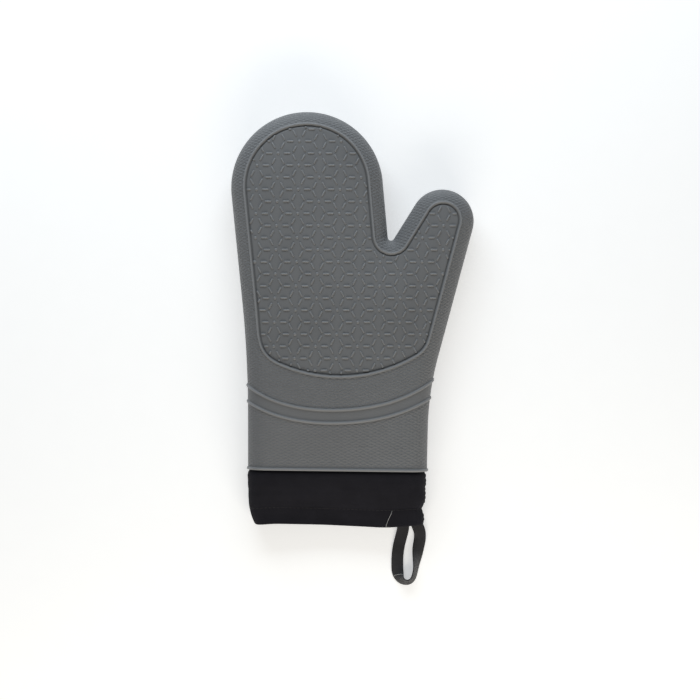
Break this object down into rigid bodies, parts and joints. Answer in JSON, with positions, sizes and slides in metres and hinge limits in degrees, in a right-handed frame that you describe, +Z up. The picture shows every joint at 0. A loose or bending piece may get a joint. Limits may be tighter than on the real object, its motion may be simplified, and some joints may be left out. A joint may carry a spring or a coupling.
{
  "type": "oven mitt",
  "caption": "Silicone oven mitt with a raised relief grip, a woven cuff, a quilted cotton lining and a hanging loop of tape.",
  "frame": {"origin": "centre of the whole mitt's box at the level of the surface it lies on, palm face up", "axes": "+Y from the cuff towards the fingertips, +X towards the thumb, +Z up out of the palm face"},
  "size_m": [0.193, 0.3764, 0.0338],
  "materials": {
    "silicone": "satin moulded silicone, mid grey",
    "adhesive": "cured silicone adhesive",
    "cuff_cloth": "black plain-woven cotton twill",
    "lining_cotton": "dark grey cotton cloth",
    "wadding": "white polyester wadding",
    "thread": "black spun sewing thread",
    "loop_tape": "black woven tape"
  },
  "bodies": {
    "mitt": {"silicone_shell": "silicone", "hem_bond": "adhesive", "cuff_sleeve": "cuff_cloth", "cuff_hem_stitching": "thread", "cuff_seam_stitching": "thread", "lining_outer_palm": "lining_cotton", "lining_outer_back": "lining_cotton", "wadding_palm": "wadding", "wadding_back": "wadding", "lining_inner_palm": "lining_cotton", "lining_inner_back": "lining_cotton", "quilting_palm": "thread", "quilting_back": "thread", "lining_edge_stitching": "thread", "lining_join_stitching": "thread", "loop_sewn_ends": "loop_tape", "loop_bartacks": "thread"},
    "loop": {"hanging_loop": "loop_tape"}
  },
  "joints": [
    {"name": "loop_swing", "type": "hinge", "parent": "mitt", "child": "loop", "pos_m": [0.04745, -0.14274, 0.0032], "axis": [1, 0, 0], "range_deg": [-90, 90]}
  ]
}
